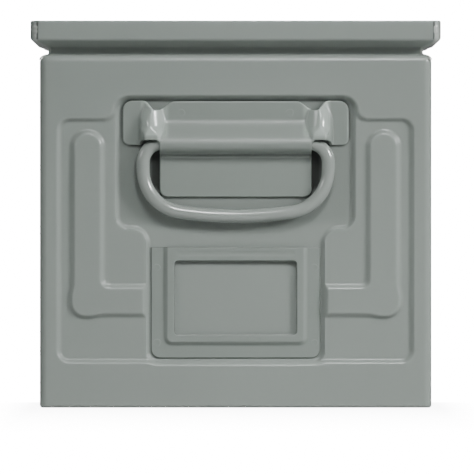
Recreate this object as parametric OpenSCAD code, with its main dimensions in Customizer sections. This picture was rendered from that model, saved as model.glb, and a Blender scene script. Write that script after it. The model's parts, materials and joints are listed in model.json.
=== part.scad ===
// Steel stacking box with two drop handles and a label holder.
// Open-topped, spot-welded from pressed sheet. Its rolled rim takes the base of the box above.
// Millimetres, +Z up, origin under the middle of the base, front end wall facing -Y.

/* [Body] */
// Outside width of the body, measured across an end wall
body_width = 202.4; // [160:0.1:300]
// Outside length of the body, from end wall to end wall
body_length = 302; // [220:1:600]
// Height from the floor to the top of the rim
box_height = 200; // [150:1:300]
// Thickness of the wall and base sheet
sheet = 1; // [0.7:0.1:1.5]
// Outside radius of the four upright corners
corner_r = 4; // [3:0.5:8]
// Outside radius of the bend at the foot of each wall
foot_r = 1.6; // [1.6:0.1:4]
// Width of the flange turned in under the base
foot_flange = 14; // [10:1:20]

/* [Rim] */
// How far the lip stands outside the body
lip_out = 4.8; // [3:0.1:8]
// Radius that turns the flare up into the lip
lip_r = 2.2; // [1.6:0.1:6]
// Height of the folded hem along the top edge
hem_height = 5; // [2:0.5:5]
// How far the stacking neck is rolled inside the body
neck_in = 5.2; // [4:0.1:8]
// Depth of the neck's upright face below the top edge
neck_drop = 14.75; // [12:0.25:20]

/* [Pressed walls] */
// Depth of one pressing level; the recesses are two levels deep
level = 2.1; // [1.2:0.1:2.6]
// Plain border left at each side of an end wall's panel
panel_margin = 9.1; // [7:0.1:20]
// Height of the panels' lower edge
panel_foot = 23.1; // [18:0.1:40]
// Depth of the panels' upper edge below the top of the box
panel_drop = 50.4; // [30:0.1:80]
// Width of the sloping side of a one-level step
step_slope = 1.8; // [1:0.1:3]
// Width of the raised L-shaped stiffening beads
bead_width = 13.3; // [8:0.1:16]
// Number of upright beads on each long side
side_beads = 5; // [2:1:9]

/* [Handles] */
// Diameter of the handle wire
wire_d = 7; // [5:0.5:9]
// Width of the handle, measured between the middles of its legs
handle_width = 95.6; // [80:0.1:120]
// Depth of the hinge line below the top of the box
hinge_drop = 63.4; // [50:0.1:90]
// Distance from the hinge line down to the middle of the grip
handle_drop = 37.7; // [30:0.1:45]
// Bend radius at the lower corners of the handle
grip_corner_r = 22; // [14:1:26]
// Bend radius where each leg turns in to its hinge stub
stub_bend_r = 10; // [8:0.5:12]
// Length of the straight hinge stub inside the bracket
stub_length = 21; // [12:1:30]
// Thickness of the handle bracket plate
bracket_plate = 1.2; // [0.8:0.1:2]
// Height of the bracket above the hinge line
bracket_head = 21.7; // [18:0.1:30]
// Gap between the bracket's lower edge and the grip
grip_gap = 6.5; // [4:0.5:20]
// How far the handle swings up before its legs meet the bracket
swing = 50; // [30:1:60]
// Free space around the wire inside the bracket
wire_play = 0.5; // [0.4:0.05:0.8]

/* [Label holder] */
// Width of the label card
card_width = 74; // [52:1:105]
// Width of the frame that overlaps the card on each side
card_lap = 5.7; // [3:0.1:9]
// Thickness of the label holder plate
holder_plate = 0.8; // [0.5:0.1:1.2]
// Room for the card between the holder and the wall
card_room = 1.6; // [0.8:0.1:1.6]
// Width of the flange that is welded to the wall
holder_flange = 6.6; // [5:0.1:9]

/* [Welds] */
// Diameter of a spot weld
weld_d = 4.6; // [3:0.1:6]
// Height of the raised mark that a spot weld leaves
weld_mark = 0.25; // [0.1:0.05:0.5]

/* [Hidden] */

$fn = 48;
arc_n = 6;                                   // segments in a quarter turn of a pressed corner
half_w = body_width / 2;
half_l = body_length / 2;

// rim profile, u = outwards from the wall face, z = up
neck_r = 1.2;
shoulder_r = neck_in - neck_r;
neck_foot = box_height - neck_drop - 1.55;   // where the shoulder fillet ends
shoulder_z = neck_foot - neck_r - shoulder_r;
neck_top = box_height - neck_drop;
flare = 20;                                  // rise of the underside of the lip
flare_u0 = -neck_in + neck_r * (1 - sin(flare));
flare_z0 = neck_top + neck_r * cos(flare);
flare_u1 = lip_out - lip_r * (1 - sin(flare));
flare_z1 = flare_z0 + (flare_u1 - flare_u0) * tan(flare);
lip_z = flare_z1 + lip_r * cos(flare);
hem_foot = max(box_height - hem_height, lip_z + 0.2);
split_z = (neck_foot + neck_top) / 2;        // below: round upright corners, above: mitred

floor_u = -2 * level;                        // face of the recess floors

// handle, hinge line and bracket, u = outwards from the wall face
wire_r = wire_d / 2;
stop_gap = 0.3;                              // the wire stays this far from wall and stops
pivot_z = box_height - hinge_drop;
pivot_u = floor_u + wire_r + stop_gap;
leg_x = handle_width / 2;
grip_foot = pivot_z - handle_drop - wire_r;
tunnel_in = wire_r + wire_play;
tunnel_out = tunnel_in + bracket_plate;
tunnel_a = 40;                               // where the round tunnel runs off into its slope
bracket_face = pivot_u + tunnel_out;
// lower edge of the knuckles, which stays stop_gap clear of a leg at full swing
arch_z = pivot_z + (wire_r + stop_gap - tunnel_in * cos(swing)) / sin(swing);
open_x = leg_x - wire_r - 5.1;               // inner side of each leg opening
knuckle_x0 = leg_x - wire_r - 11.3;
knuckle_x1 = leg_x + wire_r - 0.4;
inner_run = 5.4;                             // width of a knuckle's inner slope
outer_run = 3.2;                             // and of its steeper outer slope
tie_z0 = grip_foot + wire_d + grip_gap;
tie_z1 = pivot_z + bracket_head;
knuckle_z1 = tie_z1 - 4.3;
ear_x = leg_x + wire_r + 7;
ear_z0 = pivot_z - 0.9;
ear_z1 = tie_z1 + 0.3;

// recess that takes the handle and its bracket
recess_slope = 2.4;
recess_x = ear_x + 2.5 + recess_slope;
recess_z0 = grip_foot - 2 - recess_slope;
recess_z1 = ear_z1 + 0.4 + recess_slope;
recess_r = 8;

// label holder and its recess
pocket_x = card_width / 2 + 0.1;
holder_x = pocket_x + holder_flange;
label_slope = 3;
label_x = holder_x + 0.7 + label_slope;
label_z0 = panel_foot - 0.9;
holder_z0 = label_z0 + label_slope + 0.4;
holder_z1 = grip_foot - 12.4;
pocket_z0 = holder_z0 + holder_flange;
window_x = pocket_x - card_lap;
window_z0 = pocket_z0 + card_lap;
window_z1 = holder_z1 - 7.2;

// pressed panel with its two L-shaped beads
panel_x = half_w - panel_margin;
panel_z0 = panel_foot;
panel_z1 = box_height - panel_drop;
panel_r = 6.5;
bead_x1 = panel_x - 9;
bead_x0 = bead_x1 - bead_width;
bead_z0 = panel_z0 + 25.8;
bead_z1 = panel_z1 - 8.2;
arm_z1 = bead_z0 + bead_width - 0.6;
seam_y = half_l - 16;                        // where end-wall flanges meet the side walls
lap = 11;                                    // overlap behind each flange

steel = "#87908b";
wire_steel = "#8d9691";

// ---- helpers ----

function arc(cx, cy, r, a0, a1, n = arc_n) =
    [for (i = [0:n]) let (a = a0 + (a1 - a0) * i / n) [cx + r * cos(a), cy + r * sin(a)]];

function flip(points) = [for (i = [len(points) - 1:-1:0]) points[i]];

// rounded rectangle, counter-clockwise
function round_rect(x0, x1, z0, z1, r) = concat(
    arc(x1 - r, z0 + r, r, -90, 0), arc(x1 - r, z1 - r, r, 0, 90),
    arc(x0 + r, z1 - r, r, 90, 180), arc(x0 + r, z0 + r, r, 180, 270));

// the same rectangle drawn in by d on every side
function drawn_in(box, r, d) =
    round_rect(box[0] + d, box[1] - d, box[2] + d, box[3] - d, max(r - d, 0.3));

// one side of the wall sheet from foot flange to hem, d = distance below its outer face
function wall_side(d) = concat(
    [[-foot_flange, d]],
    arc(-foot_r, foot_r, foot_r - d, -90, 0),
    arc(-shoulder_r, shoulder_z, shoulder_r - d, 0, 90),
    arc(-shoulder_r, neck_foot, neck_r + d, 270, 180, 4),
    arc(-neck_in + neck_r, neck_top, neck_r + d, 180, 90 + flare, 4),
    arc(lip_out - lip_r, lip_z, lip_r - d, flare - 90, 0));

// cross-section of a wall with its folded hem
function wall_section() = concat(
    wall_side(0),
    arc(lip_out - sheet, box_height - sheet, sheet, 0, 180),
    [[lip_out - 2 * sheet, hem_foot], [lip_out - sheet, hem_foot]],
    flip(wall_side(sheet)));

// solid between loop a at y = ya and loop b at y = yb, ya > yb, loops in the x-z plane
module loft(a, ya, b, yb) {
    n = len(a);
    polyhedron(
        points = concat([for (p = a) [p[0], ya, p[1]]], [for (p = b) [p[0], yb, p[1]]]),
        faces = concat(
            [[for (i = [0:n - 1]) i]],
            [[for (i = [n - 1:-1:0]) n + i]],
            [for (i = [0:n - 1]) [i, n + i, n + (i + 1) % n, (i + 1) % n]]));
}

// tool that presses a rounded box into a wall face: drawn in by slope at depth deep.
// under = 0 shapes the outer face, under = sheet shapes the back of the sheet
module press(box, r, deep, slope, under = 0) {
    grow = under * sqrt(deep * deep + slope * slope) / deep;
    top = under > 0 ? 0 : 0.5;
    loft(
        drawn_in(box, r, -slope * top / deep - grow), top,
        drawn_in(box, r, slope * (deep + under) / deep - grow), -deep - under);
}

// bead raised back to the wall face out of a recess one level deep
module bead(box, r, under = 0) {
    run = step_slope + 0.4;
    shrink = under * sqrt(level * level + run * run) / level;
    loft(
        drawn_in(box, r, shrink - run * under / level), -under,
        drawn_in(box, r, shrink - run * (level + under + 0.5) / level), -level - under - 0.5);
}

module both_sides() {
    children();
    mirror([1, 0, 0]) children();
}

// children are drawn for the rear end and turned round for the front
module at_end(front) {
    rotate([0, 0, front ? 180 : 0]) children();
}

// upright prism between two heights from a plan outline
module plan(points, z0, z1) {
    translate([0, 0, z0]) linear_extrude(z1 - z0) polygon(points);
}

// ---- walls ----

module section_along_x(length) {
    translate([-length / 2, half_l, 0]) rotate([90, 0, 90]) linear_extrude(length)
        polygon(wall_section());
}

module section_along_y(y0, y1) {
    translate([half_w, y1, 0]) rotate([90, 0, 0]) linear_extrude(y1 - y0)
        polygon(wall_section());
}

// straight part of an end wall, mitred towards the corners inside the corner radius
module end_run() {
    low = half_w - corner_r;
    intersection() {
        section_along_x(2 * half_w);
        plan([[low, half_l + 1], [-low, half_l + 1], [-low, half_l - corner_r],
              [-low + 20, half_l - corner_r - 20], [low - 20, half_l - corner_r - 20],
              [low, half_l - corner_r]], -1, split_z);
    }
    intersection() {
        section_along_x(2 * half_w);
        plan([[half_w, half_l + 9], [-half_w, half_l + 9], [-half_w, half_l],
              [-half_w + 20, half_l - 20], [half_w - 20, half_l - 20],
              [half_w, half_l]], split_z, box_height + 1);
    }
}

// quarter turn of the section about an upright line set in by r
module corner_turn(r, z0, z1) {
    translate([half_w - r, half_l - r, 0]) rotate_extrude(angle = 90) intersection() {
        translate([r, 0]) polygon(wall_section());
        translate([0, z0]) square([lip_out + corner_r + 9, z1 - z0]);
    }
}

// flange of the end wall round on the long side, up to the seam
module end_flange() {
    intersection() {
        section_along_y(seam_y, half_l + 1);
        plan([[half_w + 9, seam_y], [half_w + 9, half_l - corner_r],
              [half_w - corner_r, half_l - corner_r],
              [half_w - half_l + seam_y, seam_y]], -1, split_z);
    }
    intersection() {
        section_along_y(seam_y, half_l + 1);
        plan([[half_w + 9, seam_y], [half_w + 9, half_l], [half_w, half_l],
              [half_w - half_l + seam_y, seam_y]], split_z, box_height + 1);
    }
}

panel_box = [-panel_x, panel_x, panel_z0, panel_z1];
recess_box = [-recess_x, recess_x, recess_z0, recess_z1];
label_box = [-label_x, label_x, label_z0, recess_z0 + 20];
bead_box = [bead_x0, bead_x1, bead_z0, bead_z1];
arm_box = [label_x - 6, bead_x1, bead_z0, arm_z1];

module end_wall() {
    difference() {
        union() {
            end_run();
            both_sides() {
                corner_turn(corner_r, -1, split_z);
                corner_turn(0, split_z, box_height + 1);
                end_flange();
            }
            translate([0, half_l, 0]) {
                difference() {
                    press(panel_box, panel_r, level, step_slope, sheet);
                    both_sides() {
                        bead(bead_box, bead_width / 2 - 0.1, sheet);
                        bead(arm_box, 5, sheet);
                    }
                }
                press(recess_box, recess_r, 2 * level, recess_slope, sheet);
                press(label_box, panel_r, 2 * level, label_slope, sheet);
            }
        }
        translate([0, half_l, 0]) {
            difference() {
                press(panel_box, panel_r, level, step_slope);
                both_sides() {
                    bead(bead_box, bead_width / 2 - 0.1);
                    bead(arm_box, 5);
                }
            }
            press(recess_box, recess_r, 2 * level, recess_slope);
            press(label_box, panel_r, 2 * level, label_slope);
        }
    }
}

side_span = seam_y - 9;
side_box = [-side_span, side_span, panel_z0, panel_z1];
side_pitch = 2 * side_span / (side_beads + 1);

module side_bead(under = 0) {
    for (i = [1:side_beads])
        bead([-side_span + i * side_pitch - bead_width / 2,
              -side_span + i * side_pitch + bead_width / 2,
              panel_z0 + 12, panel_z1 - 12], bead_width / 2 - 0.1, under);
}

// right side wall; its ends are set in by one sheet and lie behind the end-wall flanges
module side_wall() {
    difference() {
        union() {
            section_along_y(-seam_y, seam_y);
            for (s = [-1, 1]) translate([half_w - 2 * sheet, s * (seam_y + lap / 2 - 1.5), 0])
                translate([0, -lap / 2 - 1.5, foot_r + 3])
                    cube([sheet, lap + 3, shoulder_z - foot_r - 6]);
            translate([half_w, 0, 0]) rotate([0, 0, -90]) difference() {
                press(side_box, panel_r, level, step_slope, sheet);
                side_bead(sheet);
            }
        }
        translate([half_w, 0, 0]) rotate([0, 0, -90]) difference() {
            press(side_box, panel_r, level, step_slope);
            side_bead();
        }
    }
}

module front_end_wall() {
    color(steel) at_end(true) end_wall();
}

module rear_end_wall() {
    color(steel) at_end(false) end_wall();
}

module right_side_wall() {
    color(steel) side_wall();
}

module left_side_wall() {
    color(steel) rotate([0, 0, 180]) side_wall();
}

// ---- base ----

pan_x = half_w - foot_r - 0.3;
pan_y = half_l - foot_r - 0.3;
field_x = half_w - foot_flange - 12;
field_y = half_l - foot_flange - 12;

// base sheet lying on the foot flanges, with its middle pressed up to stiffen it
module base_pan() {
    box = [-field_x, field_x, -field_y, field_y];
    color(steel) difference() {
        union() {
            translate([0, 0, sheet]) linear_extrude(sheet)
                polygon(round_rect(-pan_x, pan_x, -pan_y, pan_y, 3));
            translate([0, 0, sheet]) rotate([-90, 0, 0]) press(box, 20, level, 4, sheet);
        }
        translate([0, 0, sheet]) rotate([-90, 0, 0]) press(box, 20, level, 4);
    }
}

// ---- handles ----

// raised tunnel over the hinge stubs, r = its radius, back = how far it runs behind the floor
function tunnel(r, back) = concat(
    [[floor_u - back, pivot_z - r]],
    arc(pivot_u, pivot_z, r, -90, tunnel_a, 16),
    [[floor_u - back, pivot_z + (r + (pivot_u + back - floor_u) * cos(tunnel_a)) / sin(tunnel_a)]]);

// one slope of a knuckle from foot to crest: how far each lies in from the knuckle's edge,
// under = distance below the outer face, back = how far it runs behind the floor
function slope_ends(run, under, back) =
    let (rise = bracket_face - floor_u,
         off = under * sqrt(rise * rise + run * run) / rise)
    [off - run * back / rise, off + run * (rise - under) / rise];

// upright knuckle over a leg, seen from above
function knuckle(under, back) =
    let (inner = slope_ends(inner_run, under, back), outer = slope_ends(outer_run, under, back))
    [[knuckle_x0 + inner[0], floor_u - back], [knuckle_x1 - outer[0], floor_u - back],
     [knuckle_x1 - outer[1], bracket_face - under], [knuckle_x0 + inner[1], bracket_face - under]];

module bracket_flat() {
    translate([0, floor_u + bracket_plate, 0]) rotate([90, 0, 0]) linear_extrude(bracket_plate) {
        polygon(round_rect(-open_x, open_x, tie_z0, pivot_z, 4));
        translate([-knuckle_x0 - 2, pivot_z]) square([2 * knuckle_x0 + 4, tie_z1 - pivot_z]);
        for (s = [-1, 1]) polygon(round_rect(
            s > 0 ? knuckle_x1 - 2 : -ear_x, s > 0 ? ear_x : 2 - knuckle_x1, ear_z0, ear_z1, 3));
    }
}

module bracket() {
    translate([0, half_l, 0]) difference() {
        union() {
            bracket_flat();
            rotate([90, 0, 90]) translate([0, 0, -leg_x + 6]) linear_extrude(2 * leg_x - 12)
                polygon(tunnel(tunnel_out, 0));
            both_sides() plan(knuckle(0, 0), arch_z - 3, knuckle_z1);
        }
        rotate([90, 0, 90]) translate([0, 0, -leg_x + 6]) linear_extrude(2 * leg_x - 12)
            polygon(tunnel(tunnel_in, 1));
        both_sides() {
            plan(knuckle(bracket_plate, 1), pivot_z, knuckle_z1 + 9);
            translate([open_x, floor_u - 1, pivot_z - 30]) cube([leg_x, 20, ear_z0 - pivot_z + 30]);
            translate([(open_x + knuckle_x1 - 1) / 2, bracket_face + 1, 0]) rotate([90, 0, 0])
                linear_extrude(bracket_face - floor_u + 2) polygon(round_rect(
                    -(knuckle_x1 - 1 - open_x) / 2, (knuckle_x1 - 1 - open_x) / 2,
                    pivot_z - 20, arch_z, 2));
        }
    }
}

module front_handle_bracket() {
    color(steel) at_end(true) bracket();
}

module rear_handle_bracket() {
    color(steel) at_end(false) bracket();
}

// handle wire: end of the stub, bend, leg, large corner and a slightly bowed grip, hanging down.
// lean is the angle at which the corner runs into the grip
lean = 8.4;
wire_n = 24;
grip_r = grip_corner_r + (leg_x - grip_corner_r) / sin(lean);
grip_z = pivot_z - handle_drop + grip_r;
corner_z = grip_z - (grip_r - grip_corner_r) * cos(lean);

// stations along a bend: place and outward direction
function bend(cx, cz, r, a0, a1, n) =
    [for (i = [0:n]) let (a = a0 + (a1 - a0) * i / n) [cx + r * cos(a), cz + r * sin(a), a]];

wire_path = concat(
    [[leg_x - stub_bend_r - 3, pivot_z, 90]],
    bend(leg_x - stub_bend_r, pivot_z - stub_bend_r, stub_bend_r, 90, 0, 8),
    bend(leg_x - grip_corner_r, corner_z, grip_corner_r, 0, lean - 90, 10),
    bend(0, grip_z, grip_r, -90 + 0.75 * lean, -90 - 0.75 * lean, 6),
    bend(grip_corner_r - leg_x, corner_z, grip_corner_r, -90 - lean, -180, 10),
    bend(stub_bend_r - leg_x, pivot_z - stub_bend_r, stub_bend_r, -180, -270, 8),
    [[stub_bend_r + 3 - leg_x, pivot_z, -270]]);

// the swept wire starts a little thinner inside the round stubs
function wire_size(k, n) = wire_r * (k < 1 || k > n - 2 ? 0.98 : 1);

module bail() {
    n = len(wire_path);
    translate([0, half_l + pivot_u, 0]) {
        polyhedron(
            points = [for (k = [0:n - 1], i = [0:wire_n - 1])
                let (s = wire_path[k], t = 360 * i / wire_n, q = wire_size(k, n) * cos(t))
                [s[0] + q * cos(s[2]), wire_size(k, n) * sin(t), s[1] + q * sin(s[2])]],
            faces = concat(
                [[for (i = [wire_n - 1:-1:0]) i]],
                [[for (i = [0:wire_n - 1]) (n - 1) * wire_n + i]],
                [for (k = [0:n - 2], i = [0:wire_n - 1]) let (j = (i + 1) % wire_n)
                    [k * wire_n + i, k * wire_n + j, (k + 1) * wire_n + j, (k + 1) * wire_n + i]]));
        both_sides() translate([leg_x - stub_bend_r - stub_length, 0, pivot_z])
            rotate([0, 90, 0]) cylinder(h = stub_length - 1, r = wire_r);
    }
}

module front_bail() {
    color(wire_steel) at_end(true) bail();
}

module rear_bail() {
    color(wire_steel) at_end(false) bail();
}

// ---- label holder ----

module holder_pocket(under, back) {
    raise = holder_plate + card_room;
    box = [-pocket_x, pocket_x, pocket_z0, holder_z1 + 9];
    off = under * 1.1;
    loft(
        drawn_in(box, 3, 0.9 + off), raise - under,
        drawn_in(box, 3, off - 0.4 * back), -back);
}

module label_holder() {
    color(steel) at_end(true) translate([0, half_l + floor_u, 0]) difference() {
        union() {
            translate([0, holder_plate, 0]) rotate([90, 0, 0]) linear_extrude(holder_plate)
                polygon(concat(
                    arc(holder_x - 4.6, holder_z0 + 4.6, 4.6, -90, 0),
                    [[holder_x, holder_z1], [-holder_x, holder_z1]],
                    arc(-holder_x + 4.6, holder_z0 + 4.6, 4.6, 180, 270)));
            holder_pocket(0, 0);
        }
        holder_pocket(holder_plate, 1);
        translate([0, 9, 0]) rotate([90, 0, 0]) linear_extrude(18)
            polygon(round_rect(-window_x, window_x, window_z0, window_z1, 1.8));
        translate([-half_w, -9, holder_z1]) cube([2 * half_w, 18, 30]);
    }
}

// ---- welds ----

// raised mark of a spot weld on a face whose outward side is +Y
module spot(x, z) {
    translate([x, 0, z]) rotate([-90, 0, 0]) cylinder(h = weld_mark, d = weld_d, $fn = 24);
}

module bracket_spots() {
    translate([0, half_l + floor_u + bracket_plate, 0]) {
        for (x = [-1, 1]) spot(x * (knuckle_x0 - 5), tie_z1 - 5.9);
        for (x = [-1, 0, 1]) spot(x * (open_x - 9), tie_z0 + 4.7);
    }
}

module front_bracket_welds() {
    color(steel) at_end(true) bracket_spots();
}

module rear_bracket_welds() {
    color(steel) at_end(false) bracket_spots();
}

module label_holder_welds() {
    color(steel) at_end(true) translate([0, half_l + floor_u + holder_plate, 0])
        both_sides() for (z = [holder_z0 + 8, holder_z1 - 10.6])
            spot(holder_x - holder_flange / 2 + 0.3, z);
}

// weld run over the lip where the straight rim meets each rounded corner
module rim_corner_welds() {
    color(steel) for (front = [false, true]) at_end(front) both_sides()
        translate([half_w - 1, half_l, 0]) rotate([90, 0, 90]) linear_extrude(1.6)
            polygon(concat(
                arc(lip_out - lip_r, lip_z, lip_r, flare - 60, 0, 4),
                [[lip_out, box_height - 2 * sheet], [lip_out + 0.35, box_height - 2.4 * sheet]],
                arc(lip_out - lip_r, lip_z, lip_r + 0.35, 0, flare - 57, 4)));
}

module seam_welds() {
    color(steel) for (front = [false, true]) at_end(front) both_sides()
        for (i = [0:4])
            translate([half_w, seam_y + 6, 22 + i * (shoulder_z - 43) / 4]) rotate([0, 90, 0])
                cylinder(h = weld_mark, d = weld_d, $fn = 24);
}

// along the base, through the pan and the foot flanges
module base_welds() {
    nx = 4;
    ny = 6;
    mid = half_w - foot_flange + 5;
    mid_y = half_l - foot_flange + 5;
    color(steel) translate([0, 0, 2 * sheet]) for (s = [-1, 1]) {
        for (i = [0:nx - 1]) translate([mid * (2 * i / (nx - 1) - 1) * 0.8, s * mid_y, 0])
            cylinder(h = weld_mark, d = weld_d, $fn = 24);
        for (i = [0:ny - 1]) translate([s * mid, mid_y * (2 * i / (ny - 1) - 1) * 0.85, 0])
            cylinder(h = weld_mark, d = weld_d, $fn = 24);
    }
}

front_end_wall();
rear_end_wall();
left_side_wall();
right_side_wall();
base_pan();
front_handle_bracket();
rear_handle_bracket();
front_bail();
rear_bail();
label_holder();
front_bracket_welds();
rear_bracket_welds();
label_holder_welds();
rim_corner_welds();
seam_welds();
base_welds();
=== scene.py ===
# %% [markdown]
# # A pressed-steel stacking box
#
# The real object is an open workshop box of 1 mm sheet: two end walls, two long walls and a base,
# spot-welded together and painted grey. Its rolled rim takes the foot of the next box, each end has a drop
# handle in a pressed bracket, and the front carries a frame for a label card.
#
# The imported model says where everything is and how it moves. This script loads it as a fixed frame and
# gives every piece its finished skin: real bends, real sheet thickness, weld marks and paint.

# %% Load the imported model
import json
import bpy
import numpy as np
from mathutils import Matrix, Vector


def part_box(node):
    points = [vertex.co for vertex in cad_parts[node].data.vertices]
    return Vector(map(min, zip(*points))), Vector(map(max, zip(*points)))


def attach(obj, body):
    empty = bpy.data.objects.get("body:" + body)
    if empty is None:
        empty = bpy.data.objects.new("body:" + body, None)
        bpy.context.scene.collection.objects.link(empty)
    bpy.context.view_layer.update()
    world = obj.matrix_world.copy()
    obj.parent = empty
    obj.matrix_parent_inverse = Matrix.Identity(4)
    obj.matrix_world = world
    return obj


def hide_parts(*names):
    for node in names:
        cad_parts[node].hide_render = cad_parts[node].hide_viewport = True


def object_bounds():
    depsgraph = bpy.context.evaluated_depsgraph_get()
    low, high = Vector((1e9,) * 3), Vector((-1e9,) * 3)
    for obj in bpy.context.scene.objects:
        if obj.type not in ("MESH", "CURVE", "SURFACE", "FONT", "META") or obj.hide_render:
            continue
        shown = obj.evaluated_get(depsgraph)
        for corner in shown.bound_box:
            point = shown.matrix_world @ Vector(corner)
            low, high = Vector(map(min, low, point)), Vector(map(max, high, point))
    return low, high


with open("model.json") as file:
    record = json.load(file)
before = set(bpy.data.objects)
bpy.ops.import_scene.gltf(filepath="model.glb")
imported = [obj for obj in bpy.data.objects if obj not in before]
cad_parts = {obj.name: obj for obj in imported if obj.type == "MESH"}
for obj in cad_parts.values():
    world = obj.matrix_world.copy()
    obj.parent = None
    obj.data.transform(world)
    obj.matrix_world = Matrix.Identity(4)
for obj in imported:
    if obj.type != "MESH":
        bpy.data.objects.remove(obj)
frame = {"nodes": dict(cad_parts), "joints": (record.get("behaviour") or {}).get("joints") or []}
MM = 0.001
cad_bounds = [list(corner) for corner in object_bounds()]
print("CAD box in mm:", np.round(np.ptp(cad_bounds, axis=0) / MM, 1))

# %% [markdown]
# ## Camera
#
# A box like this is shown square on, at mid height, from far away through a long lens, so that its sides
# stay upright and the rim hides the inside. A wide lens up close would make the rim and the handle, which
# stand nearer to it, look too large.

# %% Camera
def look_at(thing, target):
    """Turns an object so that its own -Z axis points at the target."""
    direction = Vector(target) - thing.location
    thing.rotation_euler = direction.to_track_quat("-Z", "Y").to_euler()


front_y = cad_bounds[0][1]
view_width = 244.6 * MM
view_centre = (0.7 * MM, 0, 88.2 * MM)
camera_distance = 9.0

lens = bpy.data.cameras.new("camera")
lens.sensor_width = 36
lens.lens = lens.sensor_width * camera_distance / view_width
lens.clip_end = 50
camera = bpy.data.objects.new("camera", lens)
camera.location = (view_centre[0], front_y - camera_distance, view_centre[2])
bpy.context.scene.collection.objects.link(camera)
look_at(camera, (view_centre[0], 0, view_centre[2]))
bpy.context.scene.camera = camera
print("lens in mm:", round(lens.lens))

# %% [markdown]
# ## Lamps
#
# The key light is a small soft box well round to the right, a little above the box, so that every pressed
# edge gets a light side and a dark side. A weak one on the left keeps the other slopes from going black,
# one behind the box lights its far end, and a narrow one over the floor brightens the ground in front.

# %% Lamps
def soft_box(name, place, target, size, watts):
    """A square area lamp, aimed at the target."""
    lamp = bpy.data.lights.new(name, "AREA")
    lamp.shape = "SQUARE"
    lamp.size = size
    lamp.energy = watts
    obj = bpy.data.objects.new(name, lamp)
    obj.location = place
    bpy.context.scene.collection.objects.link(obj)
    look_at(obj, target)
    return obj


box_centre = (0, 0, 0.1)
soft_box("key", (1.6, -1.08, 0.86), box_centre, 0.35, 34)
soft_box("left_fill", (-1.6, -1.05, 0.8), box_centre, 0.4, 6)
soft_box("back", (-0.9, 2.6, 1.3), box_centre, 1.0, 40)
pool = soft_box("floor_pool", (0.15, -0.95, 0.9), (0.05, -0.35, 0), 0.3, 1.1)
pool.data.spread = np.radians(50)
print("lamps:", {lamp.name: lamp.energy for lamp in bpy.data.lights})

# %% [markdown]
# ## A small language for materials
#
# A material is arithmetic on patterns: a cloud of tint plus a little painted shade where the metal is
# hollow. Wiring each Math node by hand hides that, so one small class lets a node's output be added and
# multiplied in plain Python, and one method makes every other node.

# %% Material helpers
class Value:
    """A number or colour that comes out of a node. Sums and products add their own Math nodes."""

    def __init__(self, paint, socket):
        self.paint, self.socket = paint, socket

    def math(self, operation, other, swap=False):
        """A Math node on this value and another. Swap puts the other first."""
        first, second = (other, self) if swap else (self, other)
        return self.paint.node("ShaderNodeMath", {"operation": operation}, {0: first, 1: second})

    def __add__(self, other):
        return self.math("ADD", other)

    def __sub__(self, other):
        return self.math("SUBTRACT", other)

    def __rsub__(self, other):
        return self.math("SUBTRACT", other, swap=True)

    def __mul__(self, other):
        return self.math("MULTIPLY", other)

    __radd__ = __add__
    __rmul__ = __mul__


class Paint:
    """One material and the nodes in it."""

    def __init__(self, name):
        self.material = bpy.data.materials.new(name)
        self.material.use_nodes = True
        self.tree = self.material.node_tree
        self.tree.nodes.clear()

    def node(self, kind, settings={}, sockets={}, out=0):
        """Adds a node: its settings first, then the values or links of its sockets."""
        made = self.tree.nodes.new(kind)
        for key, value in settings.items():
            setattr(made, key, value)
        for key, value in sockets.items():
            if isinstance(value, Value):
                self.tree.links.new(value.socket, made.inputs[key])
            else:
                made.inputs[key].default_value = value
        return Value(self, made.outputs[out]) if made.outputs else None

    def mix(self, factor, first, second):
        """A colour between first and second, by factor."""
        colours = {key: value if isinstance(value, Value) else (*value, 1)
                   for key, value in ((6, first), (7, second))}
        return self.node("ShaderNodeMix", {"data_type": "RGBA"}, {0: factor, **colours}, out=2)

    def noise(self, place, scale, detail=2.0):
        """Cloudy noise about 0.5, with scale clouds to the metre."""
        return self.node("ShaderNodeTexNoise", {}, {"Vector": place, "Scale": scale, "Detail": detail})

    def mark(self, name):
        """The number that each vertex carries under this name, or 0 where a mesh has none."""
        return self.node("ShaderNodeAttribute", {"attribute_name": name}, out=2)

    def finish(self, shader):
        """Sends the shader to the output and gives back the material."""
        self.node("ShaderNodeOutputMaterial", {}, {"Surface": shader})
        return self.material
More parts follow.
